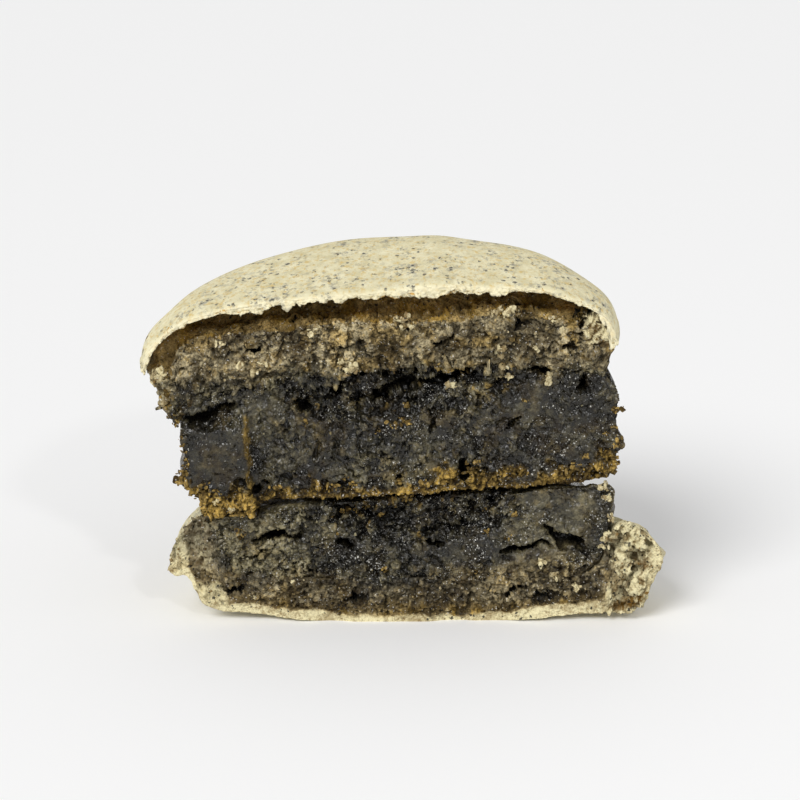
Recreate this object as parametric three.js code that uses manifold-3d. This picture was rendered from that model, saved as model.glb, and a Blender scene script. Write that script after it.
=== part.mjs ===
// A thick sesame macaron, broken in two: the half that is left, standing on its lower shell.
// Two almond-meringue shells hold a dark sesame filling. The upper half of the filling keeps a browned base
// and has come a little loose from the lower half, so the upper shell and its filling lean to one side.
//
// Millimetres, +Z up. The origin is on the upright axis of the lower shell, on the flat spot that it rests on.
// +X runs along the broken face to the right, and +Y runs from the broken face back into the food.
import * as THREE from "three";
import { mergeVertices } from "three/addons/utils/BufferGeometryUtils.js";
import Module from "manifold-3d";

// Driving dimensions: the whole macaron
const BREAK_Y = -3; // the break passes in front of the axis, so a little more than half is left
const LAYER_GAP = 0.3; // clearance between layers that lie on each other
const TURN_STEPS = 72; // facets round the whole macaron

// Lower shell: an upside-down dome with a flat spot, and a ruffled foot above it
const REST_SPOT_R = 12;
const LOWER_SKIN_R = 23.1; // where the smooth skin ends, under the foot
const LOWER_SKIN_TOP = 4.0;
const FOOT_R = 25.2;
const FOOT_Z = 6.0; // height of the foot's widest ring
const LOWER_RIM_R = 21.4;
const LOWER_RIM_Z = 10.4;
const LOWER_CUP_Z = 4.6; // floor of the cup that the filling lies in
const LOWER_CUP_R = 20.0;
const FOOT_DROP_RIGHT = 0.045; // the foot is lower on the right
const SKIN_LEAN_RIGHT = 0.35; // the skin under it leans out to the right

// Lower filling: fills the cup and stands out above its rim
const LOWER_FILLING_X = -0.9; // its top is off the axis, to the left
const LOWER_FILLING_R = 20.9;
const LOWER_FILLING_TOP = 13.4; // in the middle

// Upper half: leans to the left and towards the broken face
const UPPER_X = -1.7; // the whole upper half has slid to the left
const UPPER_BASE_Z = 13.95; // underside of the browned base, in the middle
const UPPER_ROLL = THREE.MathUtils.degToRad(3.7);
const UPPER_PITCH = THREE.MathUtils.degToRad(3.0);

// Upper filling, from its browned base up, measured from that base
const UPPER_FILLING_X = 0.4;
const UPPER_FILLING_R = 22.4;
const UPPER_FILLING_EDGE_Z = 11.2;
const UPPER_FILLING_CROWN_Z = 13.2;

// Upper shell, measured from the same base: a crumb foot, an overhanging rim and a lopsided dome
const UPPER_SHELL_X = -1.1;
const UPPER_FOOT_Z = 10.6;
const UPPER_FOOT_HANG = 2.2; // the foot hangs lower at the left end
const UPPER_RIM_R = 23.5;
const UPPER_RIM_Z = 13.9;
const DOME_BASE_Z = 12.2; // where the dome's outline would stand upright
const DOME_HEIGHT = 9.2;
const DOME_SQUARENESS = 3.8; // 2 is an ellipse, and more is flatter on top
const DOME_RISE_BACK = 0.025; // extra height for each millimetre towards the back
const DOME_RISE_RIGHT = 0.02;

// Air pocket between the baked skin and the crumb, open at the break
const SKIN_THICKNESS = 1.0;
const POCKET_HEIGHT = 1.5;
const POCKET_DEPTH = 7;

// Relief of the broken face
const CRAG_DEPTH = 0.45;
const CRAG_STEP = 1.3; // facet size on the broken face
const KNIFE_WIDTH = 60;
const KNIFE_HEIGHT = 44;
const KNIFE_THICKNESS = 28;
const BLOCK_EDGE_X = -15.4; // the filling left of this line broke off further forward
const BLOCK_FORWARD = 0.8;
const BLOCK_TOP_Z = 8.2;

const wasm = await Module();
wasm.setup();

// Closed geometry to solid and back

function solidFrom(geometry) {
  const bare = geometry.clone();
  bare.deleteAttribute("normal");
  bare.deleteAttribute("uv");
  const merged = mergeVertices(bare, 1e-4);
  return new wasm.Manifold(
    new wasm.Mesh({
      numProp: 3,
      vertProperties: new Float32Array(merged.attributes.position.array),
      triVerts: new Uint32Array(merged.index.array),
    }),
  );
}

function geometryFrom(solid) {
  const mesh = solid.getMesh();
  const geometry = new THREE.BufferGeometry();
  geometry.setAttribute("position", new THREE.BufferAttribute(mesh.vertProperties, 3));
  geometry.setIndex(new THREE.BufferAttribute(mesh.triVerts, 1));
  geometry.computeVertexNormals();
  return geometry;
}

// Moves every vertex of a geometry by a function of its place
function reshape(geometry, move) {
  const position = geometry.attributes.position;
  const point = new THREE.Vector3();
  for (let i = 0; i < position.count; i++) {
    move(point.fromBufferAttribute(position, i));
    position.setXYZ(i, point.x, point.y, point.z);
  }
  return geometry;
}

// Turns an outline of radius and height about the upright axis
function turned(outline) {
  return new THREE.LatheGeometry(outline, TURN_STEPS).rotateX(Math.PI / 2);
}

const spot = (radius, height) => new THREE.Vector2(radius, height);
const smooth = (low, high, value) => THREE.MathUtils.smoothstep(value, low, high);
const fade = (low, high, value) => 1 - smooth(low, high, value);

// The part above the rim of a squared-off quarter ellipse, from the rim up to the crown
function domeOutline(inset, steps) {
  const power = 2 / DOME_SQUARENESS;
  const start = Math.asin(((UPPER_RIM_Z + 0.4 - DOME_BASE_Z) / DOME_HEIGHT) ** (1 / power));
  return Array.from({ length: steps + 1 }, (_, i) => {
    const angle = THREE.MathUtils.lerp(start, Math.PI / 2, i / steps);
    const radius = (UPPER_RIM_R - inset) * Math.cos(angle) ** power;
    return spot(radius, DOME_BASE_Z + (DOME_HEIGHT - inset) * Math.sin(angle) ** power);
  });
}

// The arched surface where the upper filling meets the crumb above it
function archOutline(lift, steps) {
  return Array.from({ length: steps + 1 }, (_, i) => {
    const share = i / steps;
    const height = THREE.MathUtils.lerp(UPPER_FILLING_EDGE_Z, UPPER_FILLING_CROWN_Z, 1 - share ** 2.4);
    return spot(share * (UPPER_FILLING_R - 1.4), height + lift);
  });
}

// Uneven forms of hand-piped batter

// Slow waves round the rim, so that no two sides are alike
function sideWave(angle) {
  return 0.35 * Math.sin(2 * angle + 0.6) + 0.22 * Math.sin(5 * angle - 1.1) + 0.12 * Math.sin(9 * angle);
}

// The foot's ruffles: close folds that fade out above and below it
function footRuffle(angle, z, footZ, reach) {
  const fold = 0.55 * Math.sin(17 * angle + 1.3 * Math.sin(3 * angle)) + 0.3 * Math.sin(29 * angle + z);
  return fold * Math.exp(-(((z - footZ) / reach) ** 2));
}

function widen(point, amount) {
  const radius = Math.hypot(point.x, point.y);
  if (radius < 1) return;
  const share = smooth(0.6, 1, radius / UPPER_FILLING_R);
  const scale = 1 + (amount * share) / radius;
  point.x *= scale;
  point.y *= scale;
}

function leanDome(point) {
  const share = smooth(UPPER_FOOT_Z + 0.5, UPPER_RIM_Z + 2, point.z);
  point.z += share * (DOME_RISE_BACK * point.y + DOME_RISE_RIGHT * point.x);
}

// The break

// Crags of the broken face: forward of the plane where negative, sunk behind it where positive
function crag(x, z) {
  const broad = Math.sin(0.9 * x + 0.4 * z) * Math.cos(1.1 * z - 0.3 * x);
  const fine = Math.sin(2.3 * x - 1.1 * z) * Math.sin(1.9 * z + 0.7 * x);
  return CRAG_DEPTH * (broad + 0.7 * fine);
}

// A thick slab in front of the food, whose back face carries the relief of the break
function knife(relief) {
  const across = Math.round(KNIFE_WIDTH / CRAG_STEP);
  const upward = Math.round(KNIFE_HEIGHT / CRAG_STEP);
  const slab = new THREE.BoxGeometry(KNIFE_WIDTH, KNIFE_THICKNESS, KNIFE_HEIGHT, across, 1, upward);
  slab.translate(0, BREAK_Y - KNIFE_THICKNESS / 2, KNIFE_HEIGHT / 2 - 4);
  reshape(slab, (point) => {
    if (point.y > BREAK_Y - 1) point.y = BREAK_Y + relief(point.x, point.z);
  });
  return solidFrom(slab);
}

// A lens-shaped hollow in the broken face: a torn slit, a bubble or a crumbled-out recess
function hollow({ x, z, halfWidth, halfHeight, depth, tilt = 0 }) {
  const lens = new THREE.SphereGeometry(1, 12, 7);
  lens.scale(halfWidth, depth, halfHeight);
  lens.rotateY(-THREE.MathUtils.degToRad(tilt));
  lens.translate(x, BREAK_Y, z);
  return solidFrom(lens);
}

const without = (solid, hollows) => hollows.reduce((left, cut) => left.subtract(hollow(cut)), solid);

// Lower shell

function lowerShell(breakFace) {
  const outline = new THREE.Path();
  outline.moveTo(0, 0);
  outline.lineTo(REST_SPOT_R, 0);
  outline.splineThru([spot(LOWER_SKIN_R - 2.2, 0.9), spot(LOWER_SKIN_R, LOWER_SKIN_TOP)]);
  outline.splineThru([
    spot(FOOT_R, FOOT_Z),
    spot(FOOT_R - 1.6, FOOT_Z + 2.3),
    spot(LOWER_RIM_R, LOWER_RIM_Z),
  ]);
  outline.lineTo(LOWER_CUP_R + 0.7, LOWER_RIM_Z - 0.3);
  outline.splineThru([spot(LOWER_CUP_R, LOWER_CUP_Z + 2.8), spot(LOWER_CUP_R - 3, LOWER_CUP_Z + 0.6)]);
  outline.lineTo(0, LOWER_CUP_Z);
  const whole = turned(outline.getPoints(2));
  reshape(whole, (point) => {
    const angle = Math.atan2(point.y, point.x);
    const outside = smooth(LOWER_CUP_R + 0.8, LOWER_CUP_R + 1.6, Math.hypot(point.x, point.y));
    const wave = sideWave(angle) * smooth(0.5, 3, point.z);
    widen(point, outside * (wave + footRuffle(angle, point.z, FOOT_Z + 1, 2.4)));
    point.z -= FOOT_DROP_RIGHT * Math.max(0, point.x) * outside * smooth(FOOT_Z - 1, FOOT_Z + 3, point.z);
    point.x += SKIN_LEAN_RIGHT * smooth(0.4, 2, point.z) * Math.max(0, FOOT_Z - point.z) * outside;
  });
  return without(solidFrom(whole).subtract(breakFace), [
    { x: 22.6, z: 6.4, halfWidth: 1.1, halfHeight: 0.8, depth: 1.6, tilt: 20 },
    { x: -18.2, z: 3.0, halfWidth: 1.6, halfHeight: 0.5, depth: 1.2 },
    { x: 10.3, z: 3.2, halfWidth: 2.4, halfHeight: 0.5, depth: 1.2, tilt: 8 },
  ]);
}

// Lower filling

// How far its top rises above the middle: it lies along the leaning base above it, and sinks at the left end
function lowerFillingRise(x, y) {
  return x * Math.tan(UPPER_ROLL) + y * Math.tan(UPPER_PITCH) - 0.7 * fade(-15, -9, x);
}

// The back of the right end has crumbled away, which leaves the end of the gap open
function chippedEnd() {
  const chip = new THREE.SphereGeometry(1, 14, 8);
  chip.scale(4.5, 8, 1.9);
  chip.translate(LOWER_FILLING_R - 1.5, 4.2, LOWER_FILLING_TOP + 2.2);
  return solidFrom(chip);
}

function lowerFilling(breakFace) {
  const outline = new THREE.Path();
  outline.moveTo(0, LOWER_CUP_Z + LAYER_GAP);
  outline.lineTo(LOWER_CUP_R - 3.3, LOWER_CUP_Z + 0.6 + LAYER_GAP);
  outline.splineThru([spot(LOWER_CUP_R - 0.6, LOWER_CUP_Z + 3), spot(LOWER_CUP_R + 0.1, LOWER_RIM_Z - 0.2)]);
  outline.splineThru([
    spot(LOWER_FILLING_R, LOWER_RIM_Z + 0.9),
    spot(LOWER_FILLING_R - 0.5, LOWER_FILLING_TOP - 0.4),
  ]);
  outline.lineTo(LOWER_FILLING_R - 1.2, LOWER_FILLING_TOP);
  outline.lineTo(LOWER_FILLING_R / 2, LOWER_FILLING_TOP);
  outline.lineTo(0, LOWER_FILLING_TOP);
  const whole = turned(outline.getPoints(2));
  reshape(whole, (point) => {
    const share = smooth(LOWER_RIM_Z - 0.5, LOWER_FILLING_TOP - 0.4, point.z);
    const angle = Math.atan2(point.y, point.x);
    widen(point, share * 1.2 * (sideWave(angle) - 0.5));
    point.z += share * lowerFillingRise(point.x, point.y);
    point.x += share * LOWER_FILLING_X;
  });
  return without(solidFrom(whole).subtract(breakFace).subtract(chippedEnd()), [
    { x: -14.2, z: 8.9, halfWidth: 2.3, halfHeight: 0.5, depth: 3 },
    { x: 14.7, z: 8.8, halfWidth: 2.7, halfHeight: 0.7, depth: 2.6, tilt: -25 },
    { x: 11.0, z: 7.7, halfWidth: 2.5, halfHeight: 0.45, depth: 2.4, tilt: 15 },
    { x: -1.2, z: 12.4, halfWidth: 8.5, halfHeight: 1.6, depth: 2.6, tilt: 3 },
  ]);
}

// Upper filling

function upperFilling(breakFace) {
  const outline = new THREE.Path();
  outline.moveTo(0, 0);
  outline.lineTo(UPPER_FILLING_R / 2, 0);
  outline.lineTo(UPPER_FILLING_R - 1.2, 0);
  outline.splineThru([spot(UPPER_FILLING_R, 0.9), spot(UPPER_FILLING_R - 0.2, 3)]);
  outline.splineThru([spot(UPPER_FILLING_R - 0.6, 6.5), spot(UPPER_FILLING_R - 0.8, UPPER_FOOT_Z - 0.6)]);
  const side = outline.getPoints(2);
  const whole = turned([...side, ...archOutline(0, 6).reverse()]);
  reshape(whole, (point) => {
    const angle = Math.atan2(point.y, point.x);
    const side = fade(UPPER_FILLING_EDGE_Z - 2.5, UPPER_FILLING_EDGE_Z + 0.2, point.z);
    const crumbs = 0.4 * Math.sin(23 * angle + 2.1 * point.z) * Math.sin(7 * angle - point.z);
    widen(point, side * (0.7 * sideWave(angle) + crumbs * fade(4, 7, point.z)));
    point.x += UPPER_FILLING_X;
  });
  return without(solidFrom(whole).subtract(breakFace), [
    { x: -18.3, z: 9.2, halfWidth: 2.8, halfHeight: 0.55, depth: 3, tilt: 15 },
    { x: 1.2, z: 10.4, halfWidth: 6.5, halfHeight: 1.3, depth: 2.6, tilt: 4 },
    { x: -6.2, z: 11.0, halfWidth: 2.2, halfHeight: 0.8, depth: 2, tilt: 35 },
    { x: -14.2, z: 1.3, halfWidth: 1.0, halfHeight: 0.6, depth: 1.8 },
  ]);
}

// Upper shell

// The crescent of air under the skin, which reaches back from the break and closes all round
function airPocket() {
  const roof = domeOutline(SKIN_THICKNESS, 8).filter((top) => top.y > UPPER_RIM_Z + 2);
  const floor = roof.map((top) => {
    const share = 1 - (top.x / UPPER_RIM_R) ** 8;
    return spot(top.x * 0.97, top.y - POCKET_HEIGHT * share - 0.1);
  });
  const crescent = reshape(turned([...floor.reverse(), ...roof]), (point) => {
    leanDome(point);
    point.x += UPPER_SHELL_X;
  });
  const reach = new THREE.SphereGeometry(1, 40, 12);
  reach.scale(UPPER_RIM_R, POCKET_DEPTH, DOME_HEIGHT * 3);
  reach.translate(UPPER_SHELL_X, BREAK_Y, UPPER_RIM_Z);
  return solidFrom(crescent).intersect(solidFrom(reach));
}

function upperShell(breakFace) {
  const outline = new THREE.Path();
  outline.moveTo(UPPER_FILLING_R - 0.3, UPPER_FILLING_EDGE_Z + 0.1);
  outline.lineTo(UPPER_FILLING_R - 0.25, UPPER_FOOT_Z);
  outline.splineThru([
    spot(UPPER_FILLING_R + 0.3, UPPER_FOOT_Z + 1.3),
    spot(UPPER_RIM_R - 0.8, UPPER_RIM_Z - 0.1),
    spot(UPPER_RIM_R - 0.1, UPPER_RIM_Z + 0.1),
  ]);
  const dome = domeOutline(0, 10);
  const whole = turned([...archOutline(LAYER_GAP, 6), ...outline.getPoints(2), ...dome]);
  reshape(whole, (point) => {
    const angle = Math.atan2(point.y, point.x);
    const radius = Math.hypot(point.x, point.y);
    const outside = smooth(UPPER_FILLING_R - 0.6, UPPER_FILLING_R - 0.2, radius);
    const outer = smooth(UPPER_FILLING_R - 0.2, UPPER_FILLING_R + 0.3, radius);
    const foot = outer * footRuffle(angle, point.z, UPPER_FOOT_Z + 0.8, 1.2);
    const upward = smooth(UPPER_FOOT_Z, UPPER_RIM_Z, point.z);
    widen(point, 0.7 * (outside * sideWave(angle) + foot));
    leanDome(point);
    const tip = outside * fade(UPPER_FOOT_Z, UPPER_FILLING_EDGE_Z, point.z);
    point.z -= UPPER_FOOT_HANG * tip * fade(-20, -10, point.x);
    const above = Math.max(upward * outside, smooth(UPPER_RIM_Z + 1, UPPER_RIM_Z + 3, point.z));
    point.x += THREE.MathUtils.lerp(UPPER_FILLING_X, UPPER_SHELL_X, above);
  });
  return without(solidFrom(whole).subtract(breakFace).subtract(airPocket()), [
    { x: 13.4, z: 17.0, halfWidth: 1.3, halfHeight: 1.0, depth: 2.6 },
    { x: 5.5, z: 16.2, halfWidth: 1.1, halfHeight: 0.5, depth: 1.5, tilt: 20 },
    { x: -13.0, z: 16.0, halfWidth: 1.4, halfHeight: 0.5, depth: 1.4, tilt: -10 },
  ]);
}

// The half macaron

const creamSkin = new THREE.MeshStandardMaterial({ color: 0xdcd0a6, roughness: 0.8, metalness: 0 });
const darkFilling = new THREE.MeshStandardMaterial({ color: 0x35322c, roughness: 0.55, metalness: 0 });

function piece(name, solid, material) {
  const mesh = new THREE.Mesh(geometryFrom(solid), material);
  mesh.name = name;
  return mesh;
}

const lowerBreak = knife((x, z) => crag(x + 4, z - 2));
const upperBreak = knife((x, z) => {
  const block = fade(BLOCK_EDGE_X - 0.6, BLOCK_EDGE_X + 0.6, x) * fade(BLOCK_TOP_Z - 1, BLOCK_TOP_Z + 1, z);
  return crag(x, z) - BLOCK_FORWARD * block;
});

const lowerHalf = new THREE.Group();
lowerHalf.add(piece("lower_shell", lowerShell(lowerBreak), creamSkin.clone()));
lowerHalf.add(piece("lower_filling", lowerFilling(lowerBreak), darkFilling.clone()));

const upperHalf = new THREE.Group();
upperHalf.add(piece("upper_filling", upperFilling(upperBreak), darkFilling.clone()));
upperHalf.add(piece("upper_shell", upperShell(upperBreak), creamSkin.clone()));
upperHalf.position.set(UPPER_X, 0, UPPER_BASE_Z);
upperHalf.rotation.set(UPPER_PITCH, -UPPER_ROLL, 0);

const macaron = new THREE.Group();
macaron.add(lowerHalf, upperHalf);

export default macaron;
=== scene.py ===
import math
import bmesh
import bpy
import numpy as np
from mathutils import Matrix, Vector


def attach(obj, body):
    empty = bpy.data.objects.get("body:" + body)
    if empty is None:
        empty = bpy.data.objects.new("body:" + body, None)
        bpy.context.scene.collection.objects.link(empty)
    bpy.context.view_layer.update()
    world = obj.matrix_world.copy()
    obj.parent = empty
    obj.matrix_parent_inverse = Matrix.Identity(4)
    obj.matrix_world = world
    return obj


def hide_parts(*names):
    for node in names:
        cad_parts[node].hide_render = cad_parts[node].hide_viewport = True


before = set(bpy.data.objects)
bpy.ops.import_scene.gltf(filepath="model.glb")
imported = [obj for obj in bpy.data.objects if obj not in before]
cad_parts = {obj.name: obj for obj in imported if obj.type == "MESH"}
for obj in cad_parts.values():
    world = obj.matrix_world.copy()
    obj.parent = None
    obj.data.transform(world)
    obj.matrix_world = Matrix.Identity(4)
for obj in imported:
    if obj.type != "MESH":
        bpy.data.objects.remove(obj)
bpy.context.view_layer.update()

# Lower shell
# An upside-down meringue shell: a thin cream skin below, a ruffled, porous foot and pale crumb inside. Piped,
# baked and turned over, it stands on its flattened dome. It was broken across by hand.

BREAK_Y = -3.0  # millimetres, as all lengths here; the break passes in front of the axis
BREAK_ANGLE = 0.13  # radians by which the rim runs on past the half turn at either end
FACE = 0.97  # how far out to the rim a point on the break lies for it to be on the broken face
FOOT_R = 25.2
MIDDLE_Y = BREAK_Y + 0.42 * FOOT_R  # where each layer's top and bottom close
CHUNK, CRUMB, GRAIN = 1.35, 0.55, 0.25  # the three sizes of torn crumb


def dice(cell, seed):
    """A repeatable random number from 0 to 1 for each cell: its three whole numbers, each times a large odd one,
    are folded together and their bits stirred twice."""
    whole = cell.astype(np.int64).astype(np.uint32)
    mixed = whole[..., 0] * np.uint32(73856093) ^ whole[..., 1] * np.uint32(19349663)
    mixed = mixed ^ whole[..., 2] * np.uint32(83492791) ^ np.uint32((seed * 2654435761) % 2**32)
    for shift, factor in ((16, 0x7FEB352D), (15, 0x846CA68B)):
        mixed = (mixed ^ (mixed >> np.uint32(shift))) * np.uint32(factor)
    return (mixed ^ (mixed >> np.uint32(16))) / 2.0**32


def waves(place, size, seed):
    """A smooth random field from -1 to 1: random values at the corners of cubes of that size, blended inside
    each cube with a smooth step along each axis."""
    scaled = place / size
    cell = np.floor(scaled)
    part = scaled - cell
    part = part * part * (3 - 2 * part)
    total = 0
    for corner in np.ndindex(2, 2, 2):
        share = np.prod(np.where(corner, part, 1 - part), axis=-1)
        total = total + share * dice(cell + corner, seed)
    return 2 * total - 1


def cloud(place, size, layers, seed):
    """Waves of that size, plus waves half as wide and half as strong, and so on for that many layers."""
    return sum(waves(place, size / 2**i, seed + 11 * i) / 2**i for i in range(layers))


def grains(place, size, seed):
    """Packed grains, one at a random spot in each cube of that size. Gives the distance from the nearest
    grain's centre and how much farther the next one is, both in sizes, the nearest grain's own random number,
    and the height of a plane through its centre that is tilted at random."""
    scaled = place / size
    cell = np.floor(scaled)
    near = np.full(scaled.shape[:-1], 9.0)
    after = near.copy()
    home = np.zeros_like(scaled)
    way = np.zeros_like(scaled)
    for shift in np.ndindex(3, 3, 3):
        other = cell + shift - 1
        offset = scaled - other - np.stack([dice(other, seed + axis) for axis in (1, 2, 3)], axis=-1)
        far = np.linalg.norm(offset, axis=-1)
        closer = far < near
        after = np.where(closer, near, np.minimum(after, far))
        near = np.where(closer, far, near)
        home = np.where(closer[..., None], other, home)
        way = np.where(closer[..., None], offset, way)
    tilt = sum((2 * dice(home, seed + 5 + axis) - 1) * way[..., axis] for axis in range(3))
    return near, after - near, dice(home, seed + 4), tilt


def crags(place, size, seed, lift, slope, crease):
    """Torn relief of grains of that size, in millimetres: each grain is lifted or sunk at random, its face is
    tilted at random, and a crease runs between it and the next. Also gives each place's grain number and
    nearness to a crease."""
    sway = np.stack([waves(place, 0.7 * size, seed + 60 + axis) for axis in range(3)], axis=-1)
    _, gap, own, tilt = grains(place + 0.3 * size * sway, size, seed)
    seam = step(0.22, 0.0, gap)
    return size * (lift * (own - 0.5) + slope * tilt - crease * seam), own, seam


def torn(place, seed, near, big, middling, small):
    """Relief of torn crumb: crags of three sizes, each as strong as its figure says, but only the largest where
    near is 0, because the grid is coarser there. Also gives the grain numbers of the two smaller sizes, and the
    seams of the middle one."""
    rise1, _, _ = crags(place, CHUNK, seed, 0.45, 0.7, 0.2)
    rise2, own2, seam2 = crags(place, CRUMB, seed + 20, 0.55, 0.8, 0.15)
    rise3, own3, _ = crags(place, GRAIN, seed + 40, 0.5, 0.6, 0.15)
    rise = big * rise1 + near * (middling * rise2 + small * rise3)
    return rise, 0.5 + near * (own2 - 0.5), 0.5 + near * (own3 - 0.5), near * seam2


def unit(value):
    """The value, held between 0 and 1."""
    return np.clip(value, 0, 1)


def step(low, high, value):
    """0 below low, 1 above high, and a smooth S between; it falls instead where low is above high."""
    share = unit((value - low) / (high - low))
    return share * share * (3 - 2 * share)


def hump(value, at, width):
    """A bell: 1 at its middle, and e to the minus square of the distance from there, in widths."""
    return np.exp(-(((value - at) / width) ** 2))


def flat(x, y):
    """Places on the level plane, for a random field that doesn't change with height."""
    return np.stack([x, y, 0 * x], axis=-1)


def bend(value, knots):
    """A smooth curve through (place, height) knots: a cubic between each two, with the slope at a knot taken
    from its neighbours, and level beyond the ends."""
    at, height = np.array(knots, float).T
    slope = np.gradient(height, at)
    i = np.clip(np.searchsorted(at, value) - 1, 0, len(at) - 2)
    width = at[i + 1] - at[i]
    t = unit((value - at[i]) / width)
    rise = height[i] * (1 + 2 * t) * (1 - t) ** 2 + height[i + 1] * t * t * (3 - 2 * t)
    return rise + width * (slope[i] * t * (1 - t) ** 2 + slope[i + 1] * t * t * (t - 1))


def side_wave(angle):
    """Slow waves round the rim, so that no two sides are alike: three sines of 2, 5 and 9 turns."""
    return 0.35 * np.sin(2 * angle + 0.6) + 0.22 * np.sin(5 * angle - 1.1) + 0.12 * np.sin(9 * angle)


def foot_fold(angle):
    """The foot's close folds: a sine of 17 uneven turns and one of 29."""
    return 0.55 * np.sin(17 * angle + 1.3 * np.sin(3 * angle)) + 0.3 * np.sin(29 * angle + 6)


def slab(centre_x, radius, bottom, top, counts):
    """A layer of the half macaron as one closed grid. Columns run along the break and back round the arc; rows
    run from the bottom's middle out to the rim, up the wall and in to the top's middle. A point is k of the way
    from the middle to the rim of radius(angle, h), and h of the way from bottom(x, y) to top(x, y). Gives the
    grid, k, h, and which points are in the break's columns and on its broken face."""
    across, around, under, wall, over = counts
    k = np.concatenate([np.sin(np.linspace(0, np.pi / 2, under, endpoint=False)), np.ones(wall),
                        np.cos(np.linspace(0, np.pi / 2, over + 1)[1:])])[:, None]
    h = np.concatenate([np.zeros(under), np.linspace(0, 1, wall), np.ones(over)])[:, None]
    left_r = radius(np.full_like(h, np.pi + BREAK_ANGLE), h)
    right_r = radius(np.full_like(h, -BREAK_ANGLE), h)
    left_x = centre_x - np.sqrt(left_r**2 - BREAK_Y**2)
    right_x = centre_x + np.sqrt(right_r**2 - BREAK_Y**2)
    share = np.linspace(0, 1, across)[None, :]
    front_x = left_x + (right_x - left_x) * share
    turn = np.linspace(0, 1, around + 2)[None, 1:-1]
    turn = 0.55 * turn + 0.225 * (1 - np.cos(np.pi * turn))
    first = np.arcsin(BREAK_Y / right_r)
    angle = first + (np.pi - np.arcsin(BREAK_Y / left_r) - first) * turn
    back_r = radius(angle, np.broadcast_to(h, angle.shape))
    rim_x = np.concatenate([front_x, centre_x + back_r * np.cos(angle)], axis=1)
    rim_y = np.concatenate([np.full_like(front_x, BREAK_Y), back_r * np.sin(angle)], axis=1)
    x = centre_x + k * (rim_x - centre_x)
    y = MIDDLE_Y + k * (rim_y - MIDDLE_Y)
    low, high = bottom(x, y), top(x, y)
    on_break = np.zeros(x.shape, bool)
    on_break[:, :across] = True
    grid = np.stack([x, y, low + (high - low) * h], axis=-1)
    return grid, k + 0 * x, h + 0 * x, on_break, on_break & (k > FACE)


def outward(grid):
    """The unit normal at each grid point: the change along the columns crossed with that along the rows."""
    along = np.roll(grid, -1, axis=1) - np.roll(grid, 1, axis=1)
    up = np.gradient(grid, axis=0)
    normal = np.cross(along, up)
    return normal / np.maximum(np.linalg.norm(normal, axis=-1, keepdims=True), 1e-9)


def pits(x, z, *lenses):
    """Lenses on the broken face, each 1 in its middle and 0 at its edge, added up to at most 1. A lens is its
    place across and up the face, its half width, its half height and, if it is turned, the degrees."""
    total = 0
    for at_x, at_z, half_width, half_height, *tilt in lenses:
        turn = math.radians(sum(tilt))
        along = (x - at_x) * math.cos(turn) + (z - at_z) * math.sin(turn)
        across = (z - at_z) * math.cos(turn) - (x - at_x) * math.sin(turn)
        total = total + step(1.15, 0.55, np.hypot(along / half_width, across / half_height))
    return unit(total)


def face_of(grid, marks, front, strong):
    """The broken face of a layer, for crumbs to cling to: its points, their marks and how loose they are."""
    seen = {name: values[front] for name, values in marks.items() if name != "outside"}
    return grid[front], seen, strong[front]


def build(name, grid, marks, material):
    """A mesh object from a grid of points in millimetres, closed round its columns, with one number on each
    point for each mark."""
    rows, columns = grid.shape[:2]
    index = np.arange(rows * columns).reshape(rows, columns)
    ahead = np.roll(index, -1, axis=1)
    quads = np.stack([index[:-1], ahead[:-1], ahead[1:], index[1:]], axis=-1).reshape(-1, 4)
    return joined(name, grid.reshape(-1, 3), quads, marks, material)


def put(name, data):
    """An object of that mesh, light or camera, in the scene."""
    made = bpy.data.objects.new(name, data)
    bpy.context.scene.collection.objects.link(made)
    return made


def joined(name, points, faces, marks, material, smooth=True):
    """A mesh object from points in millimetres and faces that all have the same number of corners."""
    mesh = bpy.data.meshes.new(name)
    mesh.vertices.add(len(points))
    mesh.vertices.foreach_set("co", (points * 0.001).astype(np.float32).ravel())
    mesh.loops.add(faces.size)
    mesh.loops.foreach_set("vertex_index", faces.astype(np.int32).ravel())
    mesh.polygons.add(len(faces))
    mesh.polygons.foreach_set("loop_start", np.arange(0, faces.size, faces.shape[1], dtype=np.int32))
    mesh.polygons.foreach_set("use_smooth", np.full(len(faces), smooth))
    for mark, values in marks.items():
        mesh.attributes.new(mark, "FLOAT", "POINT").data.foreach_set("value", values.astype(np.float32).ravel())
    mesh.update(calc_edges=True)
    mesh.materials.append(material)
    return put(name, mesh)


class Shade:
    """A value in a material's node tree. Arithmetic on it adds Math nodes, so a pattern reads as a formula."""

    tree = None

    def __init__(self, socket):
        self.socket = socket

    @classmethod
    def node(cls, kind, settings, values, output=0):
        """Adds a node, makes its settings first, then fills or links its sockets, and gives one output."""
        made = cls.tree.nodes.new(kind)
        for name, setting in settings.items():
            setattr(made, name, setting)
        for name, value in values.items():
            if isinstance(value, Shade):
                cls.tree.links.new(value.socket, made.inputs[name])
            else:
                made.inputs[name].default_value = value
        return cls(made.outputs[output])

    @classmethod
    def math(cls, operation, *values):
        return cls.node("ShaderNodeMath", {"operation": operation}, dict(enumerate(values)))

    @classmethod
    def place(cls):
        return cls.node("ShaderNodeTexCoord", {}, {}, "Object")

    def ramp(self, low, high):
        settings = {"interpolation_type": "SMOOTHSTEP"}
        return Shade.node("ShaderNodeMapRange", settings, {"Value": self, "From Min": low, "From Max": high})

    def __add__(self, other):
        return Shade.math("ADD", self, other)

    def __sub__(self, other):
        return Shade.math("SUBTRACT", self, other)

    def __rsub__(self, other):
        return Shade.math("SUBTRACT", other, self)

    def __mul__(self, other):
        return Shade.math("MULTIPLY", self, other)

    __radd__ = __add__
    __rmul__ = __mul__


def mark(name):
    """The number that each point of the mesh has for that mark."""
    return Shade.node("ShaderNodeAttribute", {"attribute_name": name}, {}, "Fac")


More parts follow.
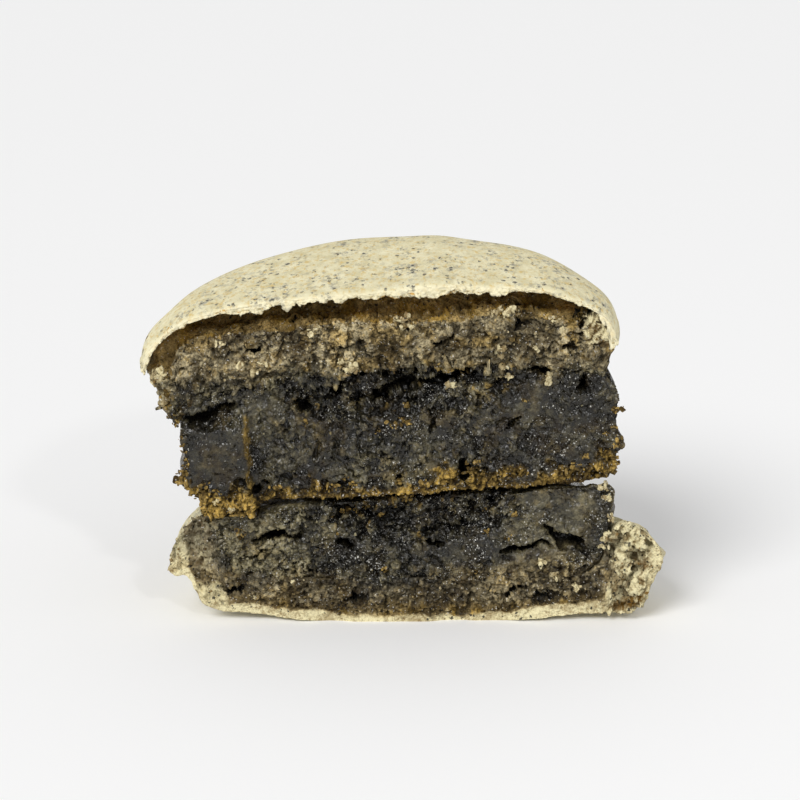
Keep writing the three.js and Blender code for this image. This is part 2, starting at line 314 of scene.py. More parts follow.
def mix(share, first, second):
    """A share of the second colour in the first."""
    return Shade.node("ShaderNodeMix", {"data_type": "RGBA"}, {0: share, 6: first, 7: second}, 2)


def paint(red, green, blue):
    """A colour given as it looks on a screen, 0 to 255, as the linear colour that a shader takes."""
    seen = np.array([red, green, blue]) / 255
    linear = np.where(seen > 0.04045, ((seen + 0.055) / 1.055) ** 2.4, seen / 12.92)
    return (*linear.tolist(), 1.0)


def material(name):
    """A new material with one Principled shader, whose node tree takes the shades made next."""
    made = bpy.data.materials.new(name)
    made.use_nodes = True
    Shade.tree = made.node_tree
    return made, made.node_tree.nodes["Principled BSDF"]


def link(shader, **values):
    """Links shades, or sets plain values, on the shader's sockets; an underscore stands for a space."""
    for name, value in values.items():
        socket = shader.inputs[name.replace("_", " ")]
        if isinstance(value, Shade):
            Shade.tree.links.new(value.socket, socket)
        else:
            socket.default_value = value


def noise(place, scale, detail, rough=0.5, output=0):
    """Mottling, so many waves to the metre, with finer layers, each rough times as strong as the last."""
    values = {"Vector": place, "Scale": scale, "Detail": detail, "Roughness": rough}
    return Shade.node("ShaderNodeTexNoise", {}, values, output)


def vectors(operation, *values, output=0):
    """Arithmetic on places or colours, three numbers at a time."""
    return Shade.node("ShaderNodeVectorMath", {"operation": operation}, dict(enumerate(values)), output)


def spots(place, scale, reach, share):
    """Small spots at random places, that many cells to the metre: a spot is in that share of the cells, and it
    goes out to that part of a cell from its middle."""
    far = Shade.node("ShaderNodeTexVoronoi", {}, {"Vector": place, "Scale": scale})
    own = Shade.node("ShaderNodeSeparateColor", {}, {0: Shade(far.socket.node.outputs["Color"])})
    return (reach - far).ramp(0.0, 0.12) * (own + share - 1).ramp(0.0, 0.06)


def baked(place):
    """The colour of baked skin: cream, mottled at random, with ochre freckles, grey smudges of ground sesame
    that crowd together, and dark specks in them, all drawn out a little from front to back. Also gives the
    skin's slight unevenness."""
    place = vectors("MULTIPLY", place, (1.0, 0.62, 1.0))
    soft = noise(place, 620.0, 6.0, 0.75)
    fleck = noise(place, 1900.0, 4.0, 0.65)
    smear = noise(place, 1100.0, 6.0, 0.8)
    ripple = noise(place, 3200.0, 2.0, output="Color")
    bent = vectors("MULTIPLY_ADD", ripple, (0.0006,) * 3, place)
    crowd = noise(place, 300.0, 3.0, 0.6).ramp(0.38, 0.64)
    hue = mix(soft.ramp(0.3, 0.7), paint(213, 203, 161), paint(238, 231, 196))
    hue = mix(fleck.ramp(0.5, 0.66) * 0.75, hue, paint(213, 184, 112))
    hue = mix(smear.ramp(0.48, 0.64) * (0.12 + 0.62 * crowd), hue, paint(116, 118, 119))
    small, large = spots(bent, 1800.0, 0.42, 0.1 + 0.4 * crowd), spots(bent, 1000.0, 0.3, 0.07 + 0.2 * crowd)
    dots = Shade.math("MAXIMUM", small, large)
    return mix(dots * (0.2 + 0.7 * smear.ramp(0.4, 0.58)), hue, paint(60, 61, 64)), fleck + soft


def crumb_look(name, dark, pale, skin, gloss, shine, crusted=False):
    """The look of broken food. Dark, pale and skin are pairs of colours, between which a grain's own tone
    picks; the marks pale and skin choose the pair, gold adds browned crust, one mark darkens pits, creases
    and holes with painted shade, and speck and glint say how many specks and painted moist glints there are.
    Packed grains with flat faces and two sizes of grit roughen it. Pale, browned and skin parts are matt, the
    rest is moist, and a crusted piece has baked skin where the mark outside says so."""
    made, shader = material(name)
    place = Shade.place()
    fine = noise(place, 1500.0, 5.0, 0.7)
    sway = noise(place, 4000.0, 1.0, output="Color")
    bent = vectors("MULTIPLY_ADD", sway, (0.0004,) * 3, place)
    grit = noise(place, 5200.0, 3.0, 0.65)
    bead = Shade.node("ShaderNodeTexVoronoi", {}, {"Vector": bent, "Scale": 3600.0})
    grain = bead.socket.node.outputs
    lean = vectors("SUBTRACT", Shade(grain["Color"]), (0.5,) * 3)
    away = vectors("SUBTRACT", bent, Shade(grain["Position"]))
    facet = vectors("DOT_PRODUCT", lean, away, output="Value")
    own = Shade.node("ShaderNodeSeparateColor", {}, {0: Shade(grain["Color"])})
    tint = noise(bent, 1900.0, 4.0, 0.6)
    swell = noise(place, 1300.0, 1.0)
    mottle = fine.ramp(0.3, 0.7)
    tone = mark("tone") * (0.1 + 0.7 * mottle + 0.8 * grit.ramp(0.3, 0.7) + 0.5 * own) + 0.14 * (mottle - 0.5)
    hue = mix(mark("pale"), mix(tone, *dark), mix(tone, *pale))
    browned = Shade.math("MAXIMUM", mark("gold"), tint.ramp(0.5, 0.64) * (0.1 + 0.5 * mark("pale")))
    hue = mix(browned, hue, mix(0.85 * tone, paint(58, 42, 10), paint(222, 184, 96)))
    hue = mix(mark("skin"), hue, mix(tone, *skin))
    if crusted:
        hue = mix(mark("outside"), hue, baked(place)[0])
    # Painted shade: pits, creases, slits, holes and recesses are darkened in the colour itself.
    hue = mix(mark("painted_shade"), hue, paint(24, 22, 18))
    specks = spots(bent, 2100.0, 0.2 + 0.35 * mottle, mark("speck"))
    hue = mix(specks * 0.9, hue, paint(28, 28, 30))
    # Painted highlights: small off-white spots are mixed into the colour to stand for moist glints.
    painted_glints = spots(bent, 5000.0, 0.42, mark("glint"))
    hue = mix(painted_glints * (0.25 + 0.75 * mottle), hue, paint(240, 238, 230))
    rugged = fine + 0.4 * grit - 0.3 * bead + 1400 * facet
    rugged = Shade.node("ShaderNodeBump", {}, {"Height": rugged, "Strength": 0.8, "Distance": 0.0004})
    slick = swell + facet * (550 + 13000 * mark("glint"))
    slick = Shade.node("ShaderNodeBump", {}, {"Height": slick, "Strength": 1.0, "Distance": 0.0004})
    dry = Shade.math("MAXIMUM", Shade.math("MAXIMUM", browned, mark("pale")), mark("skin"))
    link(shader, Base_Color=hue, Roughness=0.8, Normal=rugged, Specular_IOR_Level=0.15)
    moist = Shade.node("ShaderNodeBsdfPrincipled", {}, {"Base Color": hue, "Roughness": gloss + 0.2 * mottle,
                                                        "Normal": slick, "Specular IOR Level": shine})
    both = Shade.node("ShaderNodeMixShader", {}, {0: 0.85 * dry, 1: moist, 2: Shade(shader.outputs[0])})
    Shade.tree.links.new(both.socket, Shade.tree.nodes["Material Output"].inputs["Surface"])
    return made


def foot_rim(angle, h):
    """The foot's widest ring: its radius, with the slow waves and the close folds, drawn in behind either end
    of the break, drawn out to a point at the left end, and rounded out at the right."""
    turned = np.mod(angle, 2 * np.pi)
    left = hump(turned, np.pi, 0.45)
    behind = 1.2 * (hump(turned, np.pi - 0.1, 0.16) + hump(angle, 0.5, 0.25))
    ear = 0.7 * hump(turned, np.pi + BREAK_ANGLE, 0.08)
    right = hump(angle, 0, 0.35)
    round_out = 1 - (2 * h - 1) ** 2
    folds = side_wave(angle) + 0.9 * foot_fold(angle) * (1 - 0.7 * right)
    return FOOT_R + folds + ear - 0.4 * left * h - behind - 0.1 * right + 0.45 * right * round_out


def foot_share(x, y):
    """Distance from the axis, scaled so that the foot's widest ring is always at the same figure."""
    return np.hypot(x, y) * FOOT_R / foot_rim(np.arctan2(y, x), 0)


def shell_under(x, y):
    """The underside by distance from the axis: level, curving up as the skin does, with a ledge under the foot;
    on the right the skin leans out and has no ledge."""
    ring = foot_share(x, y)
    back = [(0, 0), (10, 0), (13, 0.3), (17, 0.85), (20.6, 1.4), (21.9, 2.3), (22.55, 3.9), (23.2, 4.8),
            (24.6, 4.95), (25.2, 5.5)]
    right = [(0, 0), (6, 0), (10, 0.15), (13, 0.4), (17, 0.75), (21, 0.85), (22.5, 1.0), (23.6, 2.0),
             (24.2, 3.4), (24.8, 4.6), (25.2, 5.4)]
    share = step(5, 18, x)
    return bend(ring, back) * (1 - share) + bend(ring, right) * share


def shell_over(x, y):
    """The cup's floor, its steep inner wall, its rim and the foot's upper slope; the slope is fuller at the
    broken right end and lower behind it, and stands up in an ear at the broken left end."""
    ring = foot_share(x, y)
    cup = [(0, 4.7), (16, 5.0), (18.5, 5.6), (19.6, 7.4), (20.3, 9.8)]
    back = bend(ring, cup + [(21.2, 10.5), (22.4, 9.9), (23.9, 8.4), (25.2, 6.1)])
    right = bend(ring, cup + [(21.2, 10.5), (22.6, 10.2), (24.2, 9.2), (25.2, 8.0)])
    share = step(16, 20, x) * step(8, 2, y)
    right = right - 2.0 * step(-2.8, 2.5, y) * step(19.5, 21.2, ring)
    drop = (0.045 + 0.09 * step(12, 18, x)) * np.maximum(0, x) * step(19.5, 21.5, ring) * step(25.2, 23.5, ring)
    ear = step(7, 2, y) * step(-18, -20.5, x) * step(20.6, 22.4, ring) * step(25.9, 24.4, ring)
    return (back - drop) * (1 - share) + right * share + ear


grid, k, h, on_break, front = slab(0, foot_rim, shell_under, shell_over, (490, 130, 22, 66, 46))
x, y, z = np.moveaxis(grid, -1, 0).copy()
wx, wz = x + 0.6 * cloud(grid, 1.8, 3, 30), z + 0.6 * cloud(grid, 1.8, 3, 29)
lobe = step(18.8, 20.4, wx) * step(4, -1, y)
pores = pits(wx, wz, (22.5, 6.9, 0.9, 0.7, 20), (20.4, 8.0, 0.6, 1.3, -30), (22.0, 4.9, 1.2, 0.6, 50),
             (21.3, 3.0, 0.5, 0.9), (23.6, 8.0, 0.6, 0.5), (-18.4, 3.4, 1.3, 0.4), (10.0, 3.4, 2.2, 0.45, 8),
             (13.5, 2.9, 1.3, 0.4, -8), (-6, 2.4, 1.2, 0.35))
pores = pores * front
grid[..., 1] += step(0.9, 1, k) * on_break * (0.5 * cloud(grid, 6, 3, 5) + 1.1 * pores)
under = shell_under(x, grid[..., 1])
band = 0.85 + 0.45 * cloud(grid, 2.5, 4, 31) + 0.5 * step(8, 13, x)
strip = step(0.35, -0.25, z - under - band)
left = 0.4 * step(-19.8, -21.2, wx) * step(4.5, 6.5, wz) + 0.45 * step(-23.0, -24.2, wx)
left = left + 0.9 * step(-18.5, -20.5, wx) * step(5.0, 3.6, wz)
outside = np.where(front, 0, np.where((h > 0.5) & (np.hypot(x, y) < 20.6), 0, 1)) * (1 - lobe)
tip = step(23.2, 24.4, np.hypot(x, y)) * np.where(x > 0, 1, 0.5)
strong = np.maximum(np.where(front, 1.0, 0.1), 0.4 * lobe) * (1 - 0.8 * strip * (1 - lobe)) * (1 - 0.7 * tip)
rise, own2, own3, seam2 = torn(grid, 200, front, 0.6 * strong, 0.9 * strong, 0.9 * strong)
rise = rise + 0.3 * strong * cloud(grid, 1.6, 3, 36)
grid += outward(grid) * (rise * step(-0.1, 0.5, z))[..., None]
skin = unit(np.maximum(np.maximum(strip * front, lobe), np.maximum(left * front, outside)))
lower_line = [(-21.5, 6.6), (-17, 5.0), (-11.9, 4.5), (-1.7, 3.9), (3.4, 5.0), (8.5, 5.5), (13.6, 6.1),
              (18.7, 6.6)]  # where the pale crumb goes over into dark filling
pale = step(1.3, -1.0, z - bend(x, lower_line) + 1.1 * cloud(grid, 2.5, 3, 33))
shade = unit(0.28 + 0.3 * own2 + 0.2 * own3 + 0.25 * cloud(grid, 3, 3, 35))
# Painted shade: the low places of the relief, darkened where shade falls in hollows.
hollow_shade = step(0.0, -0.3, rise) * strong
# The cream band is made darker in random patches.
band_patches = step(-0.1, 0.5, cloud(grid, 1.6, 4, 37)) * strip * front
skin_tone = 0.85 + 0.45 * outside + 0.5 * (shade - 0.5) - 0.6 * hollow_shade * lobe - 0.35 * band_patches
marks = {
    "tone": np.where(skin > 0.5, skin_tone, shade**2),
    "pale": 0.75 * pale,
    "skin": skin,
    "gold": unit(0.45 * step(0.2, 0.6, cloud(grid, 1.5, 3, 34)) * pale
                 + 0.5 * step(1.6, 0.6, z - under - band)),
    # Painted shade in creases, low places and pores.
    "painted_shade": unit((0.15 * seam2 + 0.3 * hollow_shade) * strong * (1 - 0.7 * skin)
                + 0.7 * pores * (1 - 0.5 * lobe)),
    "speck": (0.14 + 0.12 * skin) * (1 - outside),
    "glint": 0.14 * (1 - skin),
    "outside": outside,
}
shell_dark = (paint(24, 23, 20), paint(124, 118, 100))
shell_pale = (paint(60, 48, 28), paint(214, 197, 154))
shell_skin = (paint(126, 94, 38), paint(242, 231, 186))
shell_look = crumb_look("lower shell", shell_dark, shell_pale, shell_skin, 0.25, 0.4, crusted=True)
lower_shell = build("lower_shell_look", grid, marks, shell_look)
torn_faces = [face_of(grid, marks, front, strong)]
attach(lower_shell, "root")
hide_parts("lower_shell")

# Lower filling
# A thick pad of dark sesame paste piped into the lower shell. It has torn: slits run into it, its top middle
# has crumbled to black and ochre grains, and the two ends stay smooth.

ROLL, PITCH = math.radians(3.7), math.radians(3.0)  # the upper half's lean to the left and towards the break


def pad_rim(angle, h):
    """The pad's side: narrow where it lies in the cup, widest just above the rim, rounded in at the top."""
    knots = [(0, 17.6), (0.12, 19.2), (0.45, 20.0), (0.65, 20.3), (0.82, 20.9), (0.94, 20.9), (1, 20.5)]
    return bend(h, knots) + step(0.6, 0.9, h) * 0.8 * (side_wave(angle) - 0.3)


def pad_under(x, y):
    """The cup's floor, which the pad lies on."""
    return bend(np.hypot(x, y), [(0, 4.65), (16, 4.95), (18.5, 5.5), (20, 6.0)])


def pad_over(x, y):
    """A top that leans with the upper half, sinks at the left end and is crumbled away at the right back."""
    end = step(14.5, 18.0, x) * step(-2.9, 2.5, y)
    middle = step(-12, -8, x) * step(12, 8, x) * step(2, -3, y)
    return 13.4 + x * math.tan(ROLL) + y * math.tan(PITCH) - 0.7 * step(-9, -15, x) - 4.8 * end - 0.5 * middle


grid, k, h, on_break, front = slab(-0.5, pad_rim, pad_under, pad_over, (440, 90, 6, 104, 26))
x, _, z = np.moveaxis(grid, -1, 0).copy()
wx, wz = x + 0.6 * cloud(grid, 1.8, 3, 41), z + 0.6 * cloud(grid, 1.8, 3, 42)
crumble = step(1.25, 0.75, np.hypot((wx + 0.3) / 10.0, (wz - 12.2) / 3.2))
slits = pits(wx, wz, (-14.2, 8.9, 2.3, 0.45, 4), (14.9, 8.9, 2.6, 0.6, -28), (10.9, 7.7, 2.7, 0.4, 14),
             (-7.5, 8.3, 1.0, 0.25, -20), (-16.5, 6.9, 0.9, 0.3, 30), (2.0, 8.4, 1.0, 0.3, -15))
hole = step(0.12, 0.5, cloud(grid, 1.9, 3, 43)) * crumble
sunk = 0.45 * cloud(grid, 6, 3, 44) + 2.4 * slits + 0.9 * crumble + 1.3 * hole
grid[..., 1] += step(0.9, 1, k) * on_break * sunk
loose = np.clip(0.38 + 0.8 * crumble + 0.5 * step(7.5, 5.0, wz) + 0.3 * cloud(grid, 4, 2, 48)
                + 0.25 * step(-8, -12, x), 0.1, 1.0)
strong = loose * np.where(front, 1.0, 0.6)
close = on_break & (k > 0.9)
rise, own2, own3, seam2 = torn(grid, 300, close, np.where(close, 0.7, 0.35) * strong, 0.9 * strong,
                              0.18 + 0.8 * strong)
rise = rise + (0.12 + 0.25 * strong) * np.where(front, cloud(grid, 1.3, 3, 49), cloud(grid, 3.2, 2, 49))
grid += outward(grid) * rise[..., None]
pale = step(1.3, -1.0, z - bend(x, lower_line) + 1.1 * cloud(grid, 2.5, 3, 33))
mottle = np.where(front, cloud(grid, 2.4, 4, 51), 0.5 * cloud(grid, 3.2, 2, 51))
# Painted shade and light: the relief's height makes high places lighter and low ones darker, and the top next to
# the break is painted darker, where the gap between the halves shades it.
shade = unit(0.345 + 0.27 * mottle + 0.42 * rise + strong * (0.36 * own2 + 0.22 * own3 - 0.22)
             + 0.33 * step(-8, -14, x) + 0.04 * step(8, 13, x) - 0.13 * step(-9, -5, x) * step(9, 5, x)
             - 0.16 * (close & ~front))
ochre = step(0.8, 0.86, own2) * step(0.0, 0.4, cloud(grid, 2.6, 2, 53)) * unit(0.2 + crumble)
# Painted shade: the low places of the relief, darkened where shade falls in hollows.
hollow_shade = step(0.0, -0.3, rise) * strong
marks = {
    "tone": shade**2 + 0.25 * pale * own2,
    "pale": np.where(front, 0.75 * pale, 0.3 - 0.25 * step(0.9, 1, h)),
    "skin": 0 * x,
    "gold": unit(0.7 * ochre + 0.15 * step(0.0, 0.6, cloud(grid, 1.9, 3, 52)) * front),
    # Painted shade in creases, low places, slits, holes and crumbled grains.
    "painted_shade": unit(0.15 * seam2 * strong + 0.5 * hollow_shade + slits + 0.7 * hole + 0.15 * crumble),
    "speck": 0.08 * pale,
    "glint": unit(0.03 + np.where(front, 0.3, 0.08) * step(0.0, 0.5, cloud(grid, 2.2, 3, 54))
                  + 0.08 * crumble - 0.4 * slits),
}
filling_dark = (paint(21, 19, 13), paint(143, 134, 102))
filling_pale = (paint(60, 48, 28), paint(210, 193, 150))
pad_look = crumb_look("lower filling", filling_dark, filling_pale, filling_pale, 0.1, 0.5)
lower_filling = build("lower_filling_look", grid, marks, pad_look)
torn_faces.append(face_of(grid, marks, front, strong))
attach(lower_filling, "root")
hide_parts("lower_filling")

# Upper filling
# Dark paste on a thin base that browned to golden crust on the hot tray. It has come away from the lower
# filling and leans with the shell above it. A block at its left end broke off further out.

UPPER_X = -1.7
UPPER_BASE_Z = 13.95
UPPER_R = 22.4


def leaning(grid):
    """From the upper half's own frame to the macaron's: turned by minus the roll about Y, by the pitch about X,
    then lifted onto the lower filling."""
    cr, sr, cp, sp = math.cos(-ROLL), math.sin(-ROLL), math.cos(PITCH), math.sin(PITCH)
    turn = np.array([[1, 0, 0], [0, cp, -sp], [0, sp, cp]]) @ np.array([[cr, 0, sr], [0, 1, 0], [-sr, 0, cr]])
    return grid @ turn.T + np.array([UPPER_X, 0, UPPER_BASE_Z])


def block_rim(angle, h):
    """The side of the upper filling: a browned lip at the base, a slight waist, rounded in under the shell,
    with a corner that stands out at the right end of the break."""
    knots = [(0, 20.6), (0.12, 20.7), (0.17, 21.0), (0.24, 22.1), (0.3, 22.2), (0.45, 21.8), (0.85, 21.7),
             (1, 21.0)]
    corner = bend(h, [(0, 1.1), (0.14, 1.2), (0.22, 0.7), (0.3, 0.6), (1, 0.6)])
    right = corner * hump(angle, -0.17, 0.13) - 0.7 * hump(angle, 0.3, 0.26)
    return bend(h, knots) + 0.7 * side_wave(angle) * step(1, 0.8, h) + right


def block_under(x, y):
    """The base: level, with browned crumbs that hang lower at the left end, and rounded up at both ends."""
    here = flat(x, y)
    hang = 0.6 * step(-13.6, -15.2, x) * step(2, -3, y)
    ends = 0.6 * step(-19.5, -21.0, x) + 0.9 * step(18.5, 22.0, x)
    return -0.1 + 0.15 * cloud(here, 2.5, 3, 61) - hang + ends


def arch(x, y):
    """The arched meeting with the crumb above, falling from its middle with the distance to the power 2.4."""
    return 13.3 - 2.0 * unit(np.hypot(x, y) / (UPPER_R - 1.4)) ** 2.4


def soaked(grid):
    """How pale the broken face is, 0 in the dark filling and 1 in the crumb: the height above an uneven line,
    blurred and torn by a cloud."""
    line = [(-19.3, 12.1), (-14.2, 13.3), (-9.1, 14.0), (-4, 13.6), (0.9, 13.1), (5.9, 13.4), (10.9, 12.9),
            (16.8, 12.1), (21.2, 11.4)]
    return step(-0.7, 0.8, grid[..., 2] - bend(grid[..., 0], line) + 1.1 * cloud(grid, 2.2, 4, 74))


grid, k, _, on_break, front = slab(0.4, block_rim, block_under, arch, (480, 90, 8, 134, 8))
x, _, z = np.moveaxis(grid, -1, 0).copy()
wx, wz = x + 0.7 * cloud(grid, 1.8, 3, 62), z + 0.6 * cloud(grid, 1.8, 3, 63)
recess = step(1.3, 0.7, np.hypot((wx - 0.5) / 10.5, (wz - 11.0) / 2.6))
ragged_x = x + 0.25 * cloud(grid, 1.5, 2, 64)
block = step(-14.7, -15.1, ragged_x) * step(9.4, 8.2, wz)
brink = hump(ragged_x, -15.0, 0.22) * step(9.7, 9.0, z) * step(-0.2, 0.6, z) * front
brink = brink * step(-0.9, -0.2, cloud(grid, 2.0, 2, 77))
deep = pits(wx, wz, (-18.4, 9.9, 2.7, 0.42, 15), (18.6, 10.4, 0.9, 0.25, 60), (-14.4, 1.4, 0.8, 0.5),
            (6.6, 1.9, 0.5, 1.2), (1.2, 10.7, 4.6, 0.9, 14), (-9.3, 9.8, 1.0, 0.6), (6.4, 11.9, 1.9, 0.5, 8),
            (15.0, 12.0, 1.0, 0.5))
slight = pits(wx, wz, (-8.2, 5.6, 0.16, 1.5), (-6.4, 4.8, 0.14, 1.2, 10))
middling = pits(wx, wz, (-10.6, 7.4, 0.5, 0.2, 40), (-1.5, 3.4, 0.5, 0.22), (3.8, 7.2, 0.15, 1.0, -20),
                (12.0, 6.5, 0.8, 0.15, 30))
slits = unit(deep + 0.2 * slight + 0.5 * middling)
near, _, own, _ = grains(grid * [1, 1, 1.3], 1.7, 65)
dents = step(0.4, 0.22, near) * step(0.9, 1.5, wz) * step(3.2, 2.2, wz) * step(0.35, 0.45, own)
hole = step(0.15, 0.5, cloud(grid, 1.9, 3, 66)) * recess
sunk = (0.45 * cloud(grid, 6, 3, 67) - 1.3 * block - 0.3 * brink + 2.4 * slits + 1.1 * recess + 1.7 * hole
        + 0.9 * dents)
grid[..., 1] += step(0.9, 1, k) * on_break * sunk
crust_top = 1.3 + 0.7 * step(-14.5, -16, x) + 0.25 * step(-13, -9, x) + 0.5 * step(3, 8, x)
crust = step(0.5, -0.5, z - crust_top + 1.3 * cloud(grid, 1.5, 3, 71))
bare = step(0.2, 0.45, cloud(grid, 1.6, 3, 70)) * step(0.2, 0.7, z)
crust = crust * np.where(front, 1 - 0.9 * bare, step(4, 1, z))
loose = np.clip(0.38 + 0.8 * recess + 0.8 * step(10.5, 12.8, wz) + 0.8 * crust + 0.25 * cloud(grid, 4, 2, 72)
                + 0.12 * step(-13, -10, x) * step(12, 8, x), 0.1, 1.0)
strong = loose * (1 - 0.6 * block * (1 - crust)) * np.where(front, 1.0, 0.8)
rise, own2, own3, seam2 = torn(grid, 400, front, np.where(front, 0.7 - 0.3 * crust, 0.35) * strong,
                              0.9 * strong + 0.3 * crust, 0.15 + 0.85 * strong + 0.5 * crust)
rise = rise + (0.12 + 0.25 * strong) * np.where(front, cloud(grid, 1.3, 3, 73), cloud(grid, 3.2, 2, 73))
rise = rise * (1 - 0.65 * step(0.8, 0.1, z) * step(-14, -12, x))
grid += outward(grid) * rise[..., None]
shadow = hump(ragged_x, -14.45, 0.25) * step(9.0, 8.0, z) * front
edge = step(-21.0, -21.6, x) * step(10, 8, z) * front
ochre = step(0.8, 0.86, own2) * step(0.0, 0.4, cloud(grid, 2.6, 2, 78)) * unit(0.2 + recess)
pale = soaked(grid)
mottle = np.where(front, cloud(grid, 2.4, 4, 75), 0.5 * cloud(grid, 3.2, 2, 75))
# Painted shade and light: the relief's height makes high places lighter and low ones darker.
shade = unit(0.285 - 0.12 * block - 0.1 * step(6, 12, x) + 0.28 * mottle * (1 - 0.5 * block) + 0.42 * rise
             + strong * (0.36 * own2 + 0.22 * own3 - 0.22))
# Painted shade: the low places of the relief, darkened where shade falls in hollows.
hollow_shade = step(0.0, -0.3, rise) * strong
crust_tone = 0.2 * own2 + 0.42 * own3**2 + 0.25 * mottle
# Painted highlights: the crust's tone is raised at the left end; it is lowered towards the right.
crust_tone = crust_tone * (1 + 0.7 * step(-12, -15, x) - 0.4 * step(5, 12, x))
glint = np.where(front, 0.3, 0.08) * step(0.0, 0.5, cloud(grid, 2.2, 3, 79))
glint = glint * (1 - 0.9 * block) * (1 - 0.5 * step(6, 12, x))
marks = {
    "tone": unit(shade**2 + crust * crust_tone + 0.25 * pale * own2 + 0.25 * brink),
    "pale": np.where(front, pale, np.maximum(0.3, pale)),
    "skin": 0 * x,
    "gold": unit(0.95 * crust + 0.7 * ochre + 0.9 * brink + edge * own3
                 + 0.25 * step(0.0, 0.6, cloud(grid, 1.9, 3, 76)) * front),
    # Painted shade in creases, low places, slits, holes, dents and the recess, and a painted shadow line to the
    # right of the block's brink.
    "painted_shade": unit((0.15 + 0.3 * crust) * seam2 * strong + (0.5 - 0.2 * crust) * hollow_shade + slits + 0.7 * hole
                + 0.8 * dents + 0.25 * recess + 0.6 * shadow),
    "speck": 0.08 * pale,
    "glint": unit(0.03 + glint + 0.08 * recess + 0.1 * crust * front - 0.4 * slits),
}
block_look = crumb_look("upper filling", filling_dark, filling_pale, filling_pale, 0.1, 0.5)
grid = leaning(grid)
upper_filling = build("upper_filling_look", grid, marks, block_look)
torn_faces.append(face_of(grid, marks, front, strong))
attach(upper_filling, "root")
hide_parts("upper_filling")

# Upper shell: crumb
# The soft inside of the upper shell: pale almond crumb, ground sesame and air, darker where filling has soaked
# in. It shrank from the skin as it cooled, which left the air pocket above it, open at the break.

SHELL_X = -1.1
DOME_R = 23.5
DOME_BASE = 12.2
DOME_HEIGHT = 9.2
SQUARENESS = 3.8


def skin_rim(angle, h):
    """The skin's overhanging rim, with the slow waves of a hand-piped shell, rounded in underneath."""
    ends = 0.6 * hump(angle, 0, 0.5) + 0.3 * hump(np.mod(angle, 2 * np.pi), np.pi, 0.5)
    return DOME_R + 0.7 * side_wave(angle) + ends - 0.35 * (1 - h) ** 2


def dome(x, y, inset):
    """The dome, or one a little inside it: a squared-off ellipse of the distance from its centre as a share of
    the wavy rim, with a slight rise to the back and the right, a low ridge, and hollow shoulders."""
    share = np.hypot(x - SHELL_X, y) * DOME_R / skin_rim(np.arctan2(y, x - SHELL_X), 1.0) / (DOME_R - inset)
    rise = (DOME_HEIGHT - inset) * (1 - unit(share) ** SQUARENESS) ** (1 / SQUARENESS)
    ridge = 0.35 * hump(x, 5.5, 3) + 0.2 * hump(x, -5, 6)
    hollow = 0.65 * hump(x, 20.5, 3.4) + 0.6 * hump(x, -23, 2)
    return DOME_BASE + rise + step(1, 3, rise) * (0.025 * y + 0.01 * (x - SHELL_X) + ridge - hollow)


def lip(x, y):
    """The height of the skin's lower edge round the side: slow waves, a little higher to the right; at the
    break it turns down at the right end and up at the left."""
    ends = (0.5 * step(-20, -23, x) - 0.6 * step(19.5, 22, x)) * step(3, -1, y)
    return 14.1 + 0.7 * step(6, 20, x) + ends + 0.3 * waves(flat(x, y), 4.5, 106) * step(-1, 4, y)


def crumb_rim(angle, h):
    """The crumb's side: the foot hangs outside the filling, a ruffled ring up to the skin's lip; at the broken
    right end it reaches the skin."""
    inset = bend(h, [(0, 2.4), (0.2, 1.8), (0.56, 1.3), (0.92, 0.8), (1, 0.6)])
    end = hump(angle, -BREAK_ANGLE, 0.15)
    inset = inset * (1 - end) + 0.55 * end
    return skin_rim(angle, 1.0) - inset + 0.5 * foot_fold(angle) * step(0.9, 0.4, h)


def crumb_under(x, y):
    """The arched meeting with the filling, from which the foot hangs at the left end; at the broken right end
    the foot is cut away under the lip."""
    cut = 2.6 * step(21.0, 21.9, x) * step(BREAK_Y + 4, BREAK_Y + 1, y)
    return arch(x, y) - 0.15 - 2.0 * step(20.2, 21.6, np.hypot(x, y)) * step(-12, -19, x) + cut


def crumb_over(x, y):
    """The floor of the air pocket: an uneven line along the break, closing up to the skin further back, soonest
    at the left end, and filled up to the skin at the right end; at the rim a ring that meets the skin's lip."""
    line = [(-24, 13.3), (-22.1, 13.3), (-21.6, 13.9), (-21.1, 16.4), (-20.4, 17.1), (-16.8, 17.3),
            (-12.8, 17.8), (-8.8, 18.0), (-3.8, 17.9), (1.2, 17.7), (6.1, 17.6), (9.1, 18.0), (11.1, 18.3),
            (14, 17.3), (17, 17.1), (19.2, 17.3), (20.2, 18.4), (21.0, 19.4), (22.6, 20)]
    at_break = step(BREAK_Y + 3, BREAK_Y + 1, y)
    floor = bend(x, line) + 0.05 * (y - BREAK_Y) + 0.3 * cloud(flat(x, y), 2.5, 4, 81)
    inner = dome(x, y, 0.75 - 0.5 * step(19.5, 20.5, x) * at_break)
    left = step(-18.5, -21.5, x)
    close = step(0, 1, (y - BREAK_Y - 3.5 + 2.3 * left) / (4.5 - 1.8 * left))
    dip = 1.1 * step(-20.0, -21.0, x) * step(-23.5, -22.7, x) * at_break
    return np.maximum(np.minimum(floor + (inner - floor) * close, inner), lip(x, y) - dip)


